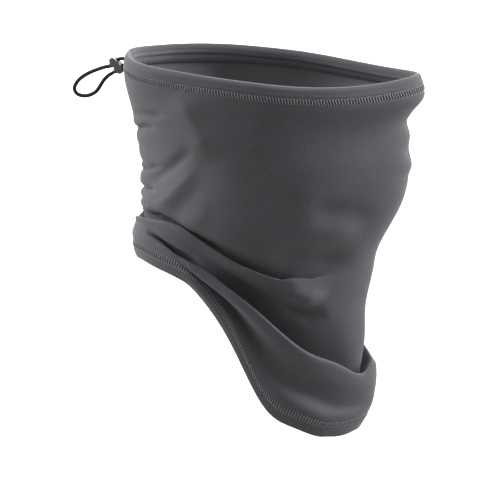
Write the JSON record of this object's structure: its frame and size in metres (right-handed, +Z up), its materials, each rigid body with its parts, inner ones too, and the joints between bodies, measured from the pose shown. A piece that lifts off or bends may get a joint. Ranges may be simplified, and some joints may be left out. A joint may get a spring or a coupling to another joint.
{
  "type": "neck gaiter",
  "caption": "Stretch softshell neck gaiter with an oval face opening, a long front that folds into a cowl, and a drawcord with a spring cord lock at the back of the top hem.",
  "frame": {"origin": "centre of the top opening, which takes the wearer's head, at the height of its rim", "axes": "+Z up along the head's passage, +X to the wearer's front, +Y to the wearer's left"},
  "size_m": [0.2542, 0.1246, 0.267],
  "materials": {
    "shell_fabric": "fine knit stretch softshell with a soft sheen outside and a brushed fleece face inside",
    "thread": "spun polyester sewing thread",
    "elastic_cord": "round braided elastic shock cord",
    "lock_plastic": "satin moulded acetal",
    "button_plastic": "satin moulded acetal",
    "spring_steel": "drawn spring wire",
    "sleeve_rubber": "soft moulded elastomer"
  },
  "bodies": {
    "garment": {"right_panel": "shell_fabric", "left_panel": "shell_fabric", "front_seam_thread": "thread", "back_seam_thread": "thread", "top_hem_stitching": "thread", "bottom_hem_stitching": "thread", "hem_drawcord": "elastic_cord", "cord_splice": "thread", "cord_slit_binding": "thread", "drawcord_stubs": "elastic_cord"},
    "cord_lock": {"drawcord_loop": "elastic_cord", "lock_housing": "lock_plastic", "lock_spring": "spring_steel", "lock_sleeves": "sleeve_rubber"},
    "lock_button": {"lock_plunger": "button_plastic"}
  },
  "joints": [
    {"name": "lock_pull", "type": "slide", "parent": "garment", "child": "cord_lock", "axis": [-0.7771, 0, -0.6293], "range_m": [0, 0.02], "stiffness_N_per_m": 120, "deforming": ["drawcord_stubs"]},
    {"name": "button_press", "type": "slide", "parent": "cord_lock", "child": "lock_button", "axis": [0, -1, 0], "range_m": [0, 0.0016], "stiffness_N_per_m": 400, "springref_m": -0.0005, "deforming": ["lock_spring"]}
  ]
}
